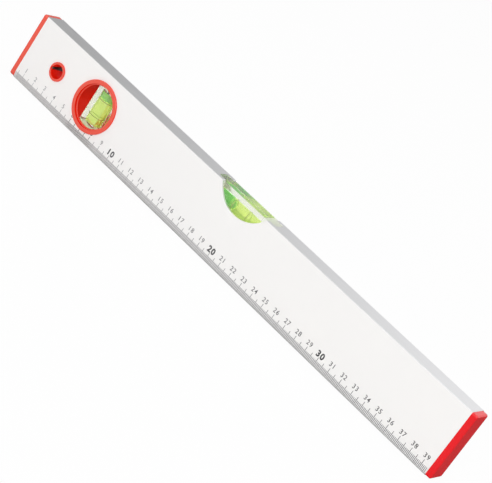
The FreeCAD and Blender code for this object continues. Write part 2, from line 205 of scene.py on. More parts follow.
def make_floor():
    """A large flat sheet under the level."""
    shape = bmesh.new()
    bmesh.ops.create_grid(shape, x_segments=1, y_segments=1, size=floor_half)
    mesh = bpy.data.meshes.new("floor")
    shape.to_mesh(mesh)
    shape.free()
    mesh.materials.append(make_white_table())
    floor = bpy.data.objects.new("floor", mesh)
    bpy.context.scene.collection.objects.link(floor)
    print("floor", 2 * floor_half, "m across")


make_floor()


# %% [markdown]
# The backdrop works the same way: pure white where the camera sees it, directly or through glass,
# and a softer sky for the light it gives. Reflections see that sky graded down to the back left,
# which gives the bare metal its slope of light from one end to the other.

# %% Backdrop
sky_strength = 0.62
dusk_side = -0.55
day_side = -0.25
dusk_strength = 0.3


def make_world():
    """A white backdrop for what is seen, a graded one for reflections, and a sky for light."""
    world = bpy.data.worlds.new("studio")
    world.use_nodes = True
    tree = world.node_tree
    tree.nodes.clear()
    sky = add(tree, "ShaderNodeBackground", {"Color": white, "Strength": sky_strength})
    seen = add(tree, "ShaderNodeBackground", {"Color": white, "Strength": 1.0})
    coords = add(tree, "ShaderNodeTexCoord")
    direction = add(tree, "ShaderNodeSeparateXYZ", {0: coords.outputs["Generated"]})
    slope = add(tree, "ShaderNodeMapRange",
                {"Value": direction.outputs["X"], "From Min": dusk_side, "From Max": day_side,
                 "To Min": dusk_strength, "To Max": 1.0})
    graded = add(tree, "ShaderNodeBackground", {"Color": white, "Strength": slope.outputs[0]})
    lit = add(tree, "ShaderNodeMixShader",
              {0: ray(tree, "Glossy"), 1: sky.outputs[0], 2: graded.outputs[0]})
    mix = add(tree, "ShaderNodeMixShader",
              {0: ray(tree, "Camera", "Transmission"), 1: lit.outputs[0], 2: seen.outputs[0]})
    add(tree, "ShaderNodeOutputWorld", {"Surface": mix.outputs[0]})
    bpy.context.scene.world = world
    print("backdrop", world.name)


make_world()


# %% [markdown]
# Soft boxes are area lamps that are large beside the level. The main one hangs behind the camera
# and above it, so its light reaches into the hanging hole and the bezel where the camera looks. A
# weaker one at the left and one over the top fill the shade.

# %% Lamps
def softbox(name, place, width, height, watts):
    """A rectangular area lamp that looks at the middle of the level's base."""
    data = bpy.data.lights.new(name, "AREA")
    data.shape = "RECTANGLE"
    data.size = width
    data.size_y = height
    data.energy = watts
    lamp = bpy.data.objects.new(name, data)
    bpy.context.scene.collection.objects.link(lamp)
    turn = (-Vector(place)).to_track_quat("-Z", "Y")
    lamp.matrix_world = Matrix.Translation(place) @ turn.to_matrix().to_4x4()
    print(name, watts, "W")


softbox("main_softbox", place=(0.5, -1.6, 1.0), width=1.2, height=0.9, watts=12)
softbox("left_softbox", place=(-1.3, -1.2, 0.8), width=1.0, height=0.8, watts=3)
softbox("top_softbox", place=(0.3, 0.4, 1.6), width=1.6, height=1.2, watts=6)


# %% [markdown]
# The box is an aluminium extrusion. Its two broad faces are stove-lacquered white, and the top, the
# base and the ruler's bevel are milled bare afterwards, so the metal meets the paint in a crisp
# line. The box comes as one solid, whose triangles don't say which face they belong to. So one
# material does it all: it reads where it is on the box and which way the surface faces, and
# chooses lacquer or metal by that.

# %% Where the box is painted
body_low, body_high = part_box("body_profile")
bevel_height = 4.4 * mm
lacquer_edge = 0.12 * mm
wall_skin = 1.1 * mm
edge_skin = 1.5 * mm
square_on = 0.9
print("box", [round(size / mm, 1) for size in body_high - body_low], "mm")


def painted_faces(tree, place, facing, depth):
    """1 on the back face and on the front face above the bevel, and 0 elsewhere."""
    broad = add(tree, "ShaderNodeMath", {0: depth, 1: body_high.y - lacquer_edge},
                operation="GREATER_THAN")
    turned = add(tree, "ShaderNodeMath", {0: facing.outputs["Y"]}, operation="ABSOLUTE")
    flat = add(tree, "ShaderNodeMath", {0: turned.outputs[0], 1: square_on},
               operation="GREATER_THAN")
    above = add(tree, "ShaderNodeMath", {0: place.outputs["Z"], 1: bevel_height},
                operation="GREATER_THAN")
    behind = add(tree, "ShaderNodeMath", {0: place.outputs["Y"], 1: 0.0}, operation="GREATER_THAN")
    height = add(tree, "ShaderNodeMath", {0: above.outputs[0], 1: behind.outputs[0]},
                 operation="MAXIMUM")
    both = add(tree, "ShaderNodeMath", {0: broad.outputs[0], 1: flat.outputs[0]},
               operation="MULTIPLY")
    painted = add(tree, "ShaderNodeMath", {0: both.outputs[0], 1: height.outputs[0]},
                  operation="MULTIPLY")
    return painted.outputs[0]


def bare_bevel(tree, facing, painted):
    """1 on what faces the front without paint, which is the ruler's bevel, and 0 elsewhere."""
    forward = add(tree, "ShaderNodeMath", {0: facing.outputs["Y"], 1: -square_on},
                  operation="LESS_THAN")
    bevel = add(tree, "ShaderNodeMath", {0: forward.outputs[0], 1: painted},
                operation="SUBTRACT", use_clamp=True)
    return bevel.outputs[0]


def inner_walls(tree, place, depth):
    """1 inside the box, and 0 on its outside."""
    deep = add(tree, "ShaderNodeMath", {0: depth, 1: body_high.y - wall_skin},
               operation="LESS_THAN")
    height = add(tree, "ShaderNodeMath",
                 {0: place.outputs["Z"], 1: (body_low.z + body_high.z) / 2}, operation="SUBTRACT")
    from_middle = add(tree, "ShaderNodeMath", {0: height.outputs[0]}, operation="ABSOLUTE")
    between = add(tree, "ShaderNodeMath",
                  {0: from_middle.outputs[0], 1: (body_high.z - body_low.z) / 2 - edge_skin},
                  operation="LESS_THAN")
    inside = add(tree, "ShaderNodeMath", {0: deep.outputs[0], 1: between.outputs[0]},
                 operation="MULTIPLY")
    return inside.outputs[0]


# %% [markdown]
# Bare aluminium leaves the die with fine lines along its length, drawn here as noise stretched
# along X. Real ones are too fine for the picture, so they are drawn 0.35 mm wide, and make the
# metal look brushed. Sprayed lacquer has a faint orange peel, which softens its gloss, and clouds
# of slightly warmer white. The bevel has a matt skin. It is painted paler towards the ruler's far
# end, a painted light, and darker along its very lower edge, a painted shade.

# %% Lacquered and milled aluminium
die_line_width = 0.35 * mm
die_line_stretch = 0.02
orange_peel_width = 0.9 * mm
cloud_width = 55.6 * mm
matt_metallic = 0.1
relief_depth = 0.05 * mm
# Painted shade along the bevel's lower edge: its height, where along the ruler it is deepest, and how
# dark it is.
painted_shade_height = 1.3 * mm
deepest_shade_from = 0.35
shade_at_zero = 0.8
shade_at_deepest = 0.4


def bevel_colour(tree, place):
    """Bare metal with painted light that pales it along the ruler, and painted shade along its lower
    edge.
    """
    along = add(tree, "ShaderNodeMapRange",
                {"Value": place.outputs["X"], "From Min": body_low.x, "From Max": body_high.x})
    # Painted light: the bevel is paler towards the ruler's far end.
    pale = add(tree, "ShaderNodeMix",
               {"Factor": along.outputs[0], "A": colour("D8D6D5"), "B": colour("F4F3F3")},
               data_type="RGBA")
    # Painted shade: the lower edge is painted darker, deepest past the ruler's first third.
    edge = add(tree, "ShaderNodeMapRange",
               {"Value": along.outputs[0], "From Max": deepest_shade_from,
                "To Min": shade_at_zero, "To Max": shade_at_deepest})
    brightness = add(tree, "ShaderNodeMapRange",
                     {"Value": place.outputs["Z"], "From Max": painted_shade_height,
                      "To Min": edge.outputs[0], "To Max": 1.0})
    painted_shade_bevel = add(tree, "ShaderNodeHueSaturation",
                {"Color": pale.outputs["Result"], "Value": brightness.outputs[0]})
    return painted_shade_bevel.outputs[0]


def make_body_material():
    """White lacquer on the faces, bare milled metal elsewhere."""
    material, tree, output = new_material("lacquered_milled_aluminium")
    coords = add(tree, "ShaderNodeTexCoord")
    place = add(tree, "ShaderNodeSeparateXYZ", {0: coords.outputs["Object"]})
    facing = add(tree, "ShaderNodeSeparateXYZ", {0: coords.outputs["Normal"]})
    depth = add(tree, "ShaderNodeMath", {0: place.outputs["Y"]}, operation="ABSOLUTE")
    painted = painted_faces(tree, place, facing, depth.outputs[0])
    bevel = bare_bevel(tree, facing, painted)
    inside = inner_walls(tree, place, depth.outputs[0])

    stretched = add(tree, "ShaderNodeMapping",
                    {"Vector": coords.outputs["Object"], "Scale": (die_line_stretch, 1, 1)})
    lines = add(tree, "ShaderNodeTexNoise",
                {"Vector": stretched.outputs[0], "Scale": 1 / die_line_width, "Detail": 4.0,
                 "Roughness": 0.6})
    peel = add(tree, "ShaderNodeTexNoise",
               {"Vector": coords.outputs["Object"], "Scale": 1 / orange_peel_width,
                "Detail": 2.0})
    clouds = add(tree, "ShaderNodeTexNoise",
                 {"Vector": coords.outputs["Object"], "Scale": 1 / cloud_width, "Detail": 3.0})

    metal_tint = add(tree, "ShaderNodeMix",
                     {"Factor": lines.outputs[0], "A": colour("DEDEE0"), "B": colour("F2F2F3")},
                     data_type="RGBA")
    lacquer_tint = add(tree, "ShaderNodeMix",
                       {"Factor": clouds.outputs[0], "A": colour("F3F2F1"),
                        "B": colour("F6F4F2")}, data_type="RGBA")
    pale = add(tree, "ShaderNodeMath", {0: inside, 1: painted}, operation="MAXIMUM")
    tint = add(tree, "ShaderNodeMix",
               {"Factor": pale.outputs[0], "A": metal_tint.outputs["Result"],
                "B": lacquer_tint.outputs["Result"]}, data_type="RGBA")
    bevelled = add(tree, "ShaderNodeMix",
                   {"Factor": bevel, "A": tint.outputs["Result"], "B": bevel_colour(tree, place)},
                   data_type="RGBA")

    matt = add(tree, "ShaderNodeMath", {0: bevel, 1: inside}, operation="MAXIMUM")
    bare = add(tree, "ShaderNodeMapRange",
               {"Value": matt.outputs[0], "To Min": 1.0, "To Max": matt_metallic})
    metallic = add(tree, "ShaderNodeMix", {"Factor": painted, "A": bare.outputs[0], "B": 0.0})
    metal_roughness = add(tree, "ShaderNodeMapRange",
                          {"Value": lines.outputs[0], "To Min": 0.28, "To Max": 0.46})
    lacquer_roughness = add(tree, "ShaderNodeMapRange",
                            {"Value": peel.outputs[0], "To Min": 0.34, "To Max": 0.42})
    roughness = add(tree, "ShaderNodeMix",
                    {"Factor": painted, "A": metal_roughness.outputs[0],
                     "B": lacquer_roughness.outputs[0]})
    relief = add(tree, "ShaderNodeMix",
                 {"Factor": painted, "A": lines.outputs[0], "B": peel.outputs[0]})
    bump = add(tree, "ShaderNodeBump",
               {"Height": relief.outputs[0], "Strength": 0.12, "Distance": relief_depth})
    shader = add(tree, "ShaderNodeBsdfPrincipled",
                 {"Base Color": bevelled.outputs["Result"], "Metallic": metallic.outputs[0],
                  "Roughness": roughness.outputs[0], "Normal": bump.outputs[0]})
    tree.links.new(shader.outputs[0], output.inputs["Surface"])
    return material


dress(make_body_material(), "body_profile")


# %% [markdown]
# Caps, bush and bezel are injection-moulded in one red, a tough semi-gloss plastic. Its mould was
# spark-eroded, which leaves a fine even grain that breaks up the highlight. The real grain is too
# fine for the picture, so it is drawn 0.18 mm wide. Inside the bores the red is matt and deep.
# Towards the ruler's zero the red is painted warmer and brighter, a painted light, and outside,
# and on the lip in the bezel's mouth, it gets a paler painted sheen there, as the photograph shows.

# %% Red moulded plastic
spark_grain = 0.18 * mm
grain_depth = 0.03 * mm
flow_width = 16.7 * mm
mouth_floor = 7.1 * mm
half_turned = 0.5
# Painted light: the painted sheen is full up to here along the level, and gone from the next.
sheen_full_until = -110 * mm
sheen_gone_from = 190 * mm
bore_shine = 0.05
outer_shine = 0.6


def outer_skin(tree, place, facing):
    """1 on the outside of the fittings and on the bezel's lip, and 0 in their bores."""
    depth = add(tree, "ShaderNodeMath", {0: place.outputs["Y"]}, operation="ABSOLUTE")
    along = add(tree, "ShaderNodeMath", {0: place.outputs["X"]}, operation="ABSOLUTE")
    turned = add(tree, "ShaderNodeMath", {0: facing.outputs["Y"]}, operation="ABSOLUTE")
    shallow = add(tree, "ShaderNodeMath", {0: depth.outputs[0], 1: mouth_floor},
                  operation="GREATER_THAN")
    forward = add(tree, "ShaderNodeMath", {0: turned.outputs[0], 1: half_turned},
                  operation="GREATER_THAN")
    in_front = add(tree, "ShaderNodeMath", {0: shallow.outputs[0], 1: forward.outputs[0]},
                   operation="MULTIPLY")
    at_end = add(tree, "ShaderNodeMath", {0: along.outputs[0], 1: body_high.x},
                 operation="GREATER_THAN")
    outside = add(tree, "ShaderNodeMath", {0: in_front.outputs[0], 1: at_end.outputs[0]},
                  operation="MAXIMUM")
    return outside.outputs[0]


def make_red_plastic():
    """Semi-gloss red with a fine moulded grain, and painted light and sheen towards the ruler's zero.
    """
    material, tree, output = new_material("red_moulded_plastic")
    coords = add(tree, "ShaderNodeTexCoord")
    place = add(tree, "ShaderNodeSeparateXYZ", {0: coords.outputs["Object"]})
    facing = add(tree, "ShaderNodeSeparateXYZ", {0: coords.outputs["Normal"]})
    outside = outer_skin(tree, place, facing)
    grain = add(tree, "ShaderNodeTexNoise",
                {"Vector": coords.outputs["Object"], "Scale": 1 / spark_grain, "Detail": 3.0})
    flow = add(tree, "ShaderNodeTexNoise",
               {"Vector": coords.outputs["Object"], "Scale": 1 / flow_width, "Detail": 2.0})
    moulded_red = add(tree, "ShaderNodeMix",
                {"Factor": flow.outputs[0], "A": colour("E8161E"), "B": colour("F22028")},
                data_type="RGBA")
    # Painted light: towards the ruler's zero the red is painted warmer and brighter, and outside a
    # paler painted sheen is mixed in.
    painted_light_share = add(tree, "ShaderNodeMapRange",
              {"Value": place.outputs["X"], "From Min": sheen_full_until, "From Max": sheen_gone_from,
               "To Min": 1.0, "To Max": 0.0})
    painted_lit_red = add(tree, "ShaderNodeMix",
               {"Factor": painted_light_share.outputs[0], "A": moulded_red.outputs["Result"], "B": colour("F6260E")},
               data_type="RGBA")
    painted_sheen = add(tree, "ShaderNodeMath", {0: painted_light_share.outputs[0], 1: outside}, operation="MULTIPLY")
    tint = add(tree, "ShaderNodeMix",
               {"Factor": painted_sheen.outputs[0], "A": painted_lit_red.outputs["Result"], "B": colour("EE5E4E")},
               data_type="RGBA")
    shine = add(tree, "ShaderNodeMapRange",
                {"Value": outside, "To Min": bore_shine, "To Max": outer_shine})
    roughness = add(tree, "ShaderNodeMapRange",
                    {"Value": grain.outputs[0], "To Min": 0.16, "To Max": 0.24})
    bump = add(tree, "ShaderNodeBump",
               {"Height": grain.outputs[0], "Strength": 0.15, "Distance": grain_depth})
    shader = add(tree, "ShaderNodeBsdfPrincipled",
                 {"Base Color": tint.outputs["Result"], "Roughness": roughness.outputs[0],
                  "IOR": 1.5, "Specular IOR Level": shine.outputs[0], "Normal": bump.outputs[0]})
    tree.links.new(shader.outputs[0], output.inputs["Surface"])
    return material


dress(make_red_plastic(), "end_cap_left", "end_cap_right", "hanging_bush",
      "plumb_bezel_front", "plumb_bezel_back")


# %% [markdown]
# The vials are blocks of cast acrylic, which bends light by 1.49, so their edges glint and what is
# behind them shifts. Polishing leaves marks too faint to see one by one, which only blur it a
# little. The sawn ends are matt, and in the horizontal block so is the whole length around the
# plug, which looks pale from above. Where a block is matt is given to the material as a test.

# %% Clear acrylic
polish_mark_width = 1.5 * mm
matt_skin = 0.1 * mm
matt_roughness = 0.55


def lamps_pass(tree, shader, output, tint):
    """Let lamp light go straight through glass, so that what is inside it is lit."""
    clear = add(tree, "ShaderNodeBsdfTransparent", {"Color": tint})
    mix = add(tree, "ShaderNodeMixShader",
              {0: ray(tree, "Shadow"), 1: shader.outputs[0], 2: clear.outputs[0]})
    tree.links.new(mix.outputs[0], output.inputs["Surface"])


def make_acrylic(name, matt_places):
    """Clear acrylic with faint polishing marks, and sawn faces that are left matt."""
    material, tree, output = new_material(name)
    coords = add(tree, "ShaderNodeTexCoord")
    marks = add(tree, "ShaderNodeTexNoise",
                {"Vector": coords.outputs["Object"], "Scale": 1 / polish_mark_width,
                 "Detail": 3.0})
    polished = add(tree, "ShaderNodeMapRange",
                   {"Value": marks.outputs[0], "To Min": 0.04, "To Max": 0.1})
    matt = matt_places(tree, coords.outputs["Object"])
    roughness = add(tree, "ShaderNodeMix",
                    {"Factor": matt, "A": polished.outputs[0], "B": matt_roughness})
    clearness = add(tree, "ShaderNodeMapRange", {"Value": matt, "To Min": 0.9, "To Max": 0.4})
    shader = add(tree, "ShaderNodeBsdfPrincipled",
                 {"Base Color": colour("F2F4EA"), "Roughness": roughness.outputs[0], "IOR": 1.49,
                  "Transmission Weight": clearness.outputs[0]})
    lamps_pass(tree, shader, output, colour("F6F6EC"))
    return material


def outside_span(left, right):
    """A test for places to the left of one place along the level, or to the right of another."""
    def test(tree, place):
        parts = add(tree, "ShaderNodeSeparateXYZ", {0: place})
        before = add(tree, "ShaderNodeMath", {0: parts.outputs["X"], 1: left},
                     operation="LESS_THAN")
        past = add(tree, "ShaderNodeMath", {0: parts.outputs["X"], 1: right},
                   operation="GREATER_THAN")
        either = add(tree, "ShaderNodeMath", {0: before.outputs[0], 1: past.outputs[0]},
                     operation="MAXIMUM")
        return either.outputs[0]
    return test


def outside_circle(centre_x, centre_z, radius):
    """A test for places outside a circle that is drawn on the level's face."""
    def test(tree, place):
        flat = add(tree, "ShaderNodeVectorMath", {0: place, 1: (1, 0, 1)}, operation="MULTIPLY")
        away = add(tree, "ShaderNodeVectorMath", {0: flat.outputs[0], 1: (centre_x, 0, centre_z)},
                   operation="DISTANCE")
        past = add(tree, "ShaderNodeMath", {0: away.outputs["Value"], 1: radius},
                   operation="GREATER_THAN")
        return past.outputs[0]
    return test


# %% [markdown]
# In the solids the bore's wall and the liquid's skin lie on each other, and a renderer can't tell
# which one a ray meets first. So a clear block is a copy of the solid with the skin of its filled
# chamber taken out, and the liquid floats inside it as one closed form: each boundary is then drawn
# once. The copy's loose triangles are merged and cut across where the plug ends, because the bore's
# long triangles run past it. Then every face whose corners all lie on the bore between the
# chamber's ends is deleted, and the hole that this leaves is closed with one face.

# %% Taking the chamber's skin out
skin_gap = 0.03 * mm
weld_distance = 0.001 * mm
bore_reach = 0.2 * mm
end_slack = 0.05 * mm


def bored_block(node, across, centre, bore_radius, start, end):
    """A copy of a block without its chamber's skin, and a hair clear of what it stands on."""
    floor_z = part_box(node)[0].z + skin_gap
    shape = bmesh.new()
    shape.from_mesh(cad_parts[node].data)
    bmesh.ops.remove_doubles(shape, verts=shape.verts, dist=weld_distance)
    along = ({"x", "y", "z"} - set(across)).pop()
    ahead = Vector([float(axis == along) for axis in "xyz"])
    everything = [*shape.verts, *shape.edges, *shape.faces]
    bmesh.ops.bisect_plane(shape, geom=everything, dist=weld_distance, plane_co=ahead * end,
                           plane_no=ahead)

    def in_chamber(point):
        aside = [getattr(point, axis) - middle for axis, middle in zip(across, centre)]
        near = math.hypot(*aside) < bore_radius + bore_reach
        return near and start - end_slack < getattr(point, along) < end + end_slack

    for vert in shape.verts:
        vert.co.z = max(vert.co.z, floor_z)
    skin = [face for face in shape.faces if all(in_chamber(v.co) for v in face.verts)]
    bmesh.ops.delete(shape, geom=skin, context="FACES")
    rim = [edge for edge in shape.edges if edge.is_boundary]
    bmesh.ops.contextual_create(shape, geom=rim)
    bmesh.ops.recalc_face_normals(shape, faces=shape.faces)
    smooth(shape)
    print(node, "lost", len(skin), "chamber faces, closed", len(rim), "rim edges")
    return shape


# %% [markdown]
# The horizontal block lies along X under the window in the top wall. Its bore's radius and axis
# are measured on the liquid that fills it, so they follow the solids if these change.

# %% Horizontal block
plug_low, plug_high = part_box("level_vial_plug")
level_liquid_low, level_liquid_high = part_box("level_vial_liquid")
level_radius = (level_liquid_high.z - level_liquid_low.z) / 2
level_axis_z = (level_liquid_high.z + level_liquid_low.z) / 2
sawn_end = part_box("level_vial_block")[0].x + matt_skin
level_acrylic = make_acrylic("sawn_clear_acrylic", outside_span(sawn_end, plug_low.x))
level_block = bored_block("level_vial_block", "yz", (0, level_axis_z), level_radius,
                          level_liquid_low.x, plug_high.x)
piece = finish_piece("level_block_clear", level_block, level_acrylic, "level_body")
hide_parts("level_vial_block")


# %% [markdown]
# The upright block goes through the same steps. Its two ends are milled round to fit the bezel and
# left matt, so here the matt places are all those beyond a circle that is drawn on the face.

# %% Plumb block
plumb_liquid_low, plumb_liquid_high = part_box("plumb_vial_liquid")
plumb_radius = (plumb_liquid_high.x - plumb_liquid_low.x) / 2
plumb_axis_x = (plumb_liquid_high.x + plumb_liquid_low.x) / 2
plumb_block_low, plumb_block_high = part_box("plumb_vial_block")
plumb_top = plumb_block_high.z
plumb_middle_z = (plumb_block_low.z + plumb_top) / 2
round_end = plumb_top - plumb_middle_z - matt_skin
plumb_acrylic = make_acrylic("milled_clear_acrylic",
                             outside_circle(plumb_axis_x, plumb_middle_z, round_end))
plumb_block = bored_block("plumb_vial_block", "xy", (plumb_axis_x, 0), plumb_radius,
                          plumb_liquid_low.z, plumb_top)
piece = finish_piece("plumb_block_clear", plumb_block, plumb_acrylic, "level_body")
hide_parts("plumb_vial_block")


# %% [markdown]
# The plugs are glued in with solvent, so only a faint change of index shows where they are. The
# filling hole in each is closed with a brown pin. The ring lines are printed in thin olive ink, and
# the cradle under the horizontal block is moulded in white. These three are matt and differ in
# colour, grain and gloss only, so one function makes them.

# %% Plugs, pins, lines and cradle
glue_haze_width = 0.8 * mm
plain_grain_depth = 0.02 * mm


def make_plain(name, code, roughness, grain_width, variation):
    """A matt moulded or printed plastic with a little grain."""
    material, tree, output = new_material(name)
    coords = add(tree, "ShaderNodeTexCoord")
    grain = add(tree, "ShaderNodeTexNoise",
                {"Vector": coords.outputs["Object"], "Scale": 1 / grain_width, "Detail": 3.0})
    brightness = add(tree, "ShaderNodeMapRange",
                     {"Value": grain.outputs[0], "To Min": 1 - variation,
                      "To Max": 1 + variation})
    tint = add(tree, "ShaderNodeHueSaturation",
               {"Color": colour(code), "Value": brightness.outputs[0]})
    bump = add(tree, "ShaderNodeBump",
               {"Height": grain.outputs[0], "Strength": 0.1, "Distance": plain_grain_depth})
    shader = add(tree, "ShaderNodeBsdfPrincipled",
                 {"Base Color": tint.outputs[0], "Roughness": roughness,
                  "Normal": bump.outputs[0]})
    tree.links.new(shader.outputs[0], output.inputs["Surface"])
    return material


def make_bonded_acrylic():
    """Acrylic inside acrylic: nearly no boundary."""
    material, tree, output = new_material("solvent_bonded_acrylic")
    coords = add(tree, "ShaderNodeTexCoord")
    haze = add(tree, "ShaderNodeTexNoise",
               {"Vector": coords.outputs["Object"], "Scale": 1 / glue_haze_width})
    roughness = add(tree, "ShaderNodeMapRange",
                    {"Value": haze.outputs[0], "To Min": 0.02, "To Max": 0.15})
    shader = add(tree, "ShaderNodeBsdfPrincipled",
                 {"Base Color": colour("F2F6DC"), "Roughness": roughness.outputs[0], "IOR": 1.03,
                  "Transmission Weight": 0.92})
    lamps_pass(tree, shader, output, colour("F4FAF5"))
    return material


seal_pin_plastic = make_plain("seal_pin_plastic", "5A3A2C", roughness=0.5,
                              grain_width=0.4 * mm, variation=0.15)
ring_ink = make_plain("olive_ring_ink", "A8B45C", roughness=0.45,
                      grain_width=0.3 * mm, variation=0.2)
cradle_plastic = make_plain("white_cradle_plastic", "F4F5EE", roughness=0.5,
                            grain_width=0.5 * mm, variation=0.03)
dress(make_bonded_acrylic(), "level_vial_plug", "plumb_vial_plug")
dress(seal_pin_plastic, "level_seal_pin", "plumb_seal_pin")
dress(ring_ink, "level_line_left", "level_line_right", "plumb_line_lower", "plumb_line_upper")
dress(cradle_plastic, "level_vial_cradle")


# %% [markdown]
# The liquid is a light spirit dyed yellow-green. Its colour isn't on its skin but in its depth: a
# long way through it looks deep yellow, a short way pale. Volume absorption gives exactly that.
# Inside another clear solid, an index of refraction is given relative to that solid. The liquid's
# is close to the acrylic's, so its own is just below 1, and its skin hardly bends the light. A
# painted green glow on the liquid, which no lamp gives, keeps the vial fresh where red is seen
# through it. Each column of liquid is a cylinder with rounded rims, a hair smaller than the bore.

# %% Dyed liquid
# Strength of the painted green glow, an emission on the liquid, which is no lamp.
painted_glow = 0.11
dye_density = 60.0
liquid_gap = 0.12 * mm
liquid_rounding = 0.4 * mm
round_segments = 96
rim_segments = 4
lying = Matrix.Rotation(math.pi / 2, 3, "Y")


def make_liquid():
    """A clear yellow-green liquid with a painted green glow."""
    material, tree, output = new_material("yellow_green_spirit")
    # The emission is a painted green glow.
    shader = add(tree, "ShaderNodeBsdfPrincipled",
                 {"Base Color": colour("DFE6A0"), "Roughness": 0.05, "IOR": 0.96,
                  "Transmission Weight": 0.85, "Emission Color": colour("8CE000"),
                  "Emission Strength": painted_glow})
    depth = add(tree, "ShaderNodeVolumeAbsorption",
                {"Color": colour("F3FC00"), "Density": dye_density})
    lamps_pass(tree, shader, output, white)
    tree.links.new(depth.outputs[0], output.inputs["Volume"])
    return material


def column(radius, length, rounding):
    """An upright cylinder about the origin with rounded rims."""
    shape = bmesh.new()
    bmesh.ops.create_cone(shape, cap_ends=True, segments=round_segments, radius1=radius,
                          radius2=radius, depth=length)
    rims = [edge for edge in shape.edges
            if abs(edge.verts[0].co.z - edge.verts[1].co.z) < skin_gap]
    bmesh.ops.bevel(shape, geom=rims, offset=rounding, segments=rim_segments, profile=0.5,
                    affect="EDGES", material=-1)
    return shape


def make_level_liquid():
    """The horizontal vial's liquid."""
    length = level_liquid_high.x - level_liquid_low.x - 2 * skin_gap
    shape = column(level_radius - liquid_gap, length, liquid_rounding)
    bmesh.ops.rotate(shape, verts=shape.verts, matrix=lying)
    middle = Vector(((level_liquid_high.x + level_liquid_low.x) / 2, 0, level_axis_z))
    bmesh.ops.translate(shape, verts=shape.verts, vec=middle)
    smooth(shape)
    piece = finish_piece("level_liquid", shape, liquid, "level_body")
    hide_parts("level_vial_liquid")


def make_plumb_liquid():
    """The upright vial's liquid."""
    length = plumb_liquid_high.z - plumb_liquid_low.z - 2 * skin_gap
    shape = column(plumb_radius - liquid_gap, length, liquid_rounding)
    middle = Vector((plumb_axis_x, 0, (plumb_liquid_high.z + plumb_liquid_low.z) / 2))
    bmesh.ops.translate(shape, verts=shape.verts, vec=middle)
    smooth(shape)
    piece = finish_piece("plumb_liquid", shape, liquid, "level_body")
    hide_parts("plumb_vial_liquid")


liquid = make_liquid()
make_level_liquid()
make_plumb_liquid()


# %% [markdown]
# A bubble in a narrow bore is a blunt capsule: its top follows the bore, its underside is a flat
# liquid surface with a rounded rim. A ball, pulled apart at its waist and pressed flat from below,
# has that shape. Its greens are painted light: darker than the liquid, a painted shade for the
# light it bends away, and paler in the upright vial, a painted light for what comes in from behind.
# Air's index relative to the acrylic is 0.67, which would turn the bubble's rim into a mirror, and
# 0.9 keeps the rim soft.

# %% Air bubbles
ripple_width = 3.33 * mm
ball_segments = 48
ball_rings = 32
waist_slack = 0.01 * mm
flattening = 0.85
bubble_rounding = 1.2 * mm


def make_air(name, shaded_green, lit_green):
    """Air in green liquid, painted in greens for light and shade, from a darker one to a paler one.
    """
    material, tree, output = new_material(name)
    coords = add(tree, "ShaderNodeTexCoord")
    ripples = add(tree, "ShaderNodeTexNoise",
                  {"Vector": coords.outputs["Object"], "Scale": 1 / ripple_width})
    # Painted light and shade: two painted greens mixed at random.
    tint = add(tree, "ShaderNodeMix",
               {"Factor": ripples.outputs[0], "A": colour(shaded_green), "B": colour(lit_green)},
               data_type="RGBA")
    shader = add(tree, "ShaderNodeBsdfPrincipled",
                 {"Base Color": tint.outputs["Result"], "Roughness": 0.05, "IOR": 0.9,
                  "Transmission Weight": 0.5})
    lamps_pass(tree, shader, output, white)
    return material


def make_level_bubble():
    """The horizontal vial's bubble, a capsule along X under the top of the bore."""
    low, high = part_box("level_bubble")
    radius = level_radius - skin_gap
    straight = high.x - low.x - 2 * radius
    shape = bmesh.new()
    bmesh.ops.create_uvsphere(shape, u_segments=ball_segments, v_segments=ball_rings,
                              radius=radius)
    bmesh.ops.rotate(shape, verts=shape.verts, matrix=lying)
    for side in (-1, 1):
        half = [v for v in shape.verts if v.co.x * side > waist_slack]
        bmesh.ops.translate(shape, verts=half, vec=(side * straight / 2, 0, 0))
    lower = [v for v in shape.verts if v.co.z < 0]
    bmesh.ops.scale(shape, verts=lower, vec=(1, 1, flattening))
    middle = Vector(((low.x + high.x) / 2, 0, level_axis_z))
    bmesh.ops.translate(shape, verts=shape.verts, vec=middle)
    smooth(shape, sharp_degrees=180)
    # Painted shade: darker greens for the air in the horizontal vial.
    air = make_air("air_in_level_vial", "54C43C", "78D05E")
    piece = finish_piece("level_air", shape, air, "horizontal_bubble")
    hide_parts("level_bubble")


def make_plumb_bubble():
    """The upright vial's bubble, a short plug of air with rounded rims."""
    low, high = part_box("plumb_bubble")
    shape = column(plumb_radius - skin_gap, high.z - low.z, bubble_rounding)
    middle = Vector((plumb_axis_x, 0, (low.z + high.z) / 2))
    bmesh.ops.translate(shape, verts=shape.verts, vec=middle)
    smooth(shape, sharp_degrees=180)
    # Painted light: paler greens for the air in the upright vial, lit from behind.
    air = make_air("air_in_plumb_vial", "A2E684", "BAF0A0")
    piece = finish_piece("plumb_air", shape, air, "upright_bubble")
    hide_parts("plumb_bubble")


make_level_bubble()
make_plumb_bubble()


# %% [markdown]
# The scale is printed in dark grey ink, which is matt. A painted haze of light makes it paler
# towards the ruler's zero, but not beside the bezel. Its specks are drawn 0.3 mm wide, coarser than
# real ones, so that they show.

# %% Printing ink
speck_width = 0.3 * mm
# Painted haze of light on the ink: its least share, and how far from the bezel it is kept off and
# then full.
least_haze = 0.6
haze_free_within = 10 * mm
haze_from = 14 * mm


